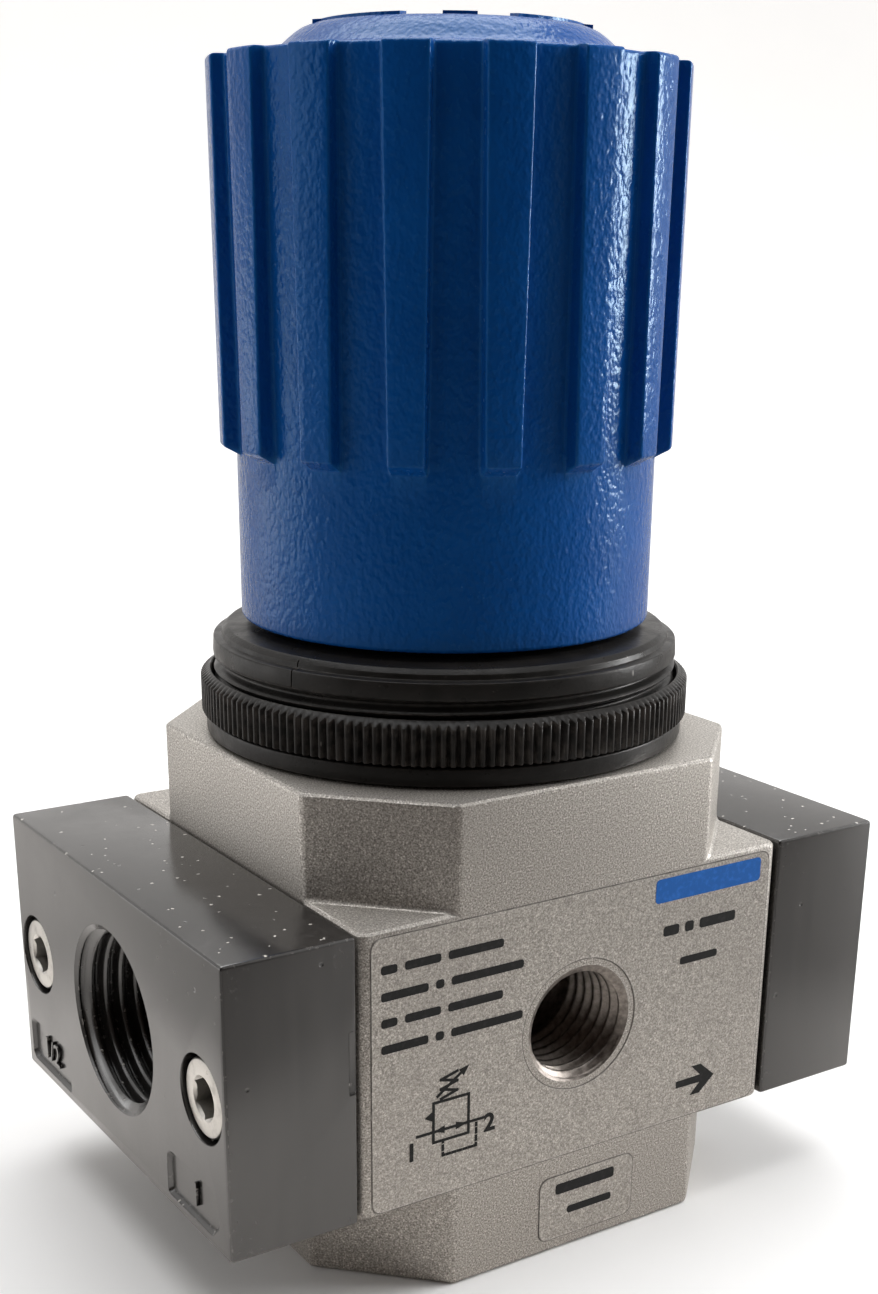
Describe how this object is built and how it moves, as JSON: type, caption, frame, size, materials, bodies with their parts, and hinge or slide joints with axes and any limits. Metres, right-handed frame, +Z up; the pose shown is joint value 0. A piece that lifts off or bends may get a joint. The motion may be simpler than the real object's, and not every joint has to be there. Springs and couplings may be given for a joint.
{
  "type": "air pressure regulator",
  "caption": "Lockable compressed-air pressure regulator with a ribbed rotary knob, a knurled ring nut, connecting plates with threaded ports and a front gauge port.",
  "frame": {"origin": "centre of the body's underside, below the common axis of knob, spindle and valve", "axes": "+Z up along the knob's axis, +X along the air flow from the inlet plate to the outlet plate, -Y to the front with the gauge port and label"},
  "size_m": [0.085, 0.055, 0.1279],
  "materials": {
    "cast_metal": "fine metallic silver-grey paint, satin",
    "black_metal": "glossy black anodised, lightly specked",
    "blue_plastic": "moulded grain, semi-gloss",
    "black_plastic": "satin",
    "zinc_steel": "bright zinc plate",
    "spring_steel": "oiled steel",
    "brass": "turned brass",
    "rubber": "matt black rubber",
    "label_film": "silver-grey printed film, satin",
    "white_plastic": "natural acetal"
  },
  "bodies": {
    "housing": {"body": "cast_metal", "front_label": "label_film", "order_label": "label_film", "inlet_plate": "black_metal", "outlet_plate": "black_metal", "inlet_seal": "rubber", "outlet_seal": "rubber", "inlet_screw_front": "zinc_steel", "inlet_screw_rear": "zinc_steel", "outlet_screw_front": "zinc_steel", "outlet_screw_rear": "zinc_steel", "rear_gauge_plug": "zinc_steel", "rear_plug_seal": "rubber", "bonnet": "black_plastic", "thrust_washer": "white_plastic", "main_spring": "spring_steel", "diaphragm": "rubber", "seat_ring": "brass", "seat_seal": "rubber", "return_spring": "spring_steel", "bottom_plug": "white_plastic", "plug_seal": "rubber"},
    "ring_nut": {"ring_nut": "black_plastic"},
    "spindle": {"spindle": "spring_steel", "detent_ring": "spring_steel"},
    "knob": {"knob": "blue_plastic"},
    "spring_nut": {"spring_nut": "brass"},
    "diaphragm_plate": {"spring_plate": "zinc_steel", "relief_seat": "brass"},
    "poppet": {"poppet": "brass", "poppet_seal": "rubber", "stem_seal": "rubber"}
  },
  "joints": [
    {"name": "spindle_turn", "type": "hinge", "parent": "housing", "child": "spindle", "pos_m": [0, 0, 0.1], "axis": [0, 0, 1], "range_deg": [-1800, 0]},
    {"name": "knob_pull", "type": "slide", "parent": "spindle", "child": "knob", "axis": [0, 0, 1], "range_m": [0, 0.004]},
    {"name": "spring_nut_travel", "type": "slide", "parent": "housing", "child": "spring_nut", "axis": [0, 0, 1], "range_m": [-0.00755, 0], "deforming": ["main_spring"]},
    {"name": "diaphragm_stroke", "type": "slide", "parent": "housing", "child": "diaphragm_plate", "axis": [0, 0, 1], "range_m": [-0.0015, 0], "deforming": ["diaphragm"]},
    {"name": "poppet_stroke", "type": "slide", "parent": "housing", "child": "poppet", "axis": [0, 0, 1], "range_m": [-0.0015, 0], "deforming": ["return_spring"]},
    {"name": "ring_nut_turn", "type": "hinge", "parent": "housing", "child": "ring_nut", "pos_m": [0, 0, 0.06], "axis": [0, 0, 1], "range_deg": [0, 720]}
  ],
  "couplings": [
    {"joint": "spring_nut_travel", "follows": "spindle_turn", "m_per_rad": 0.00023873},
    {"joint": "poppet_stroke", "follows": "diaphragm_stroke", "ratio": 1}
  ]
}
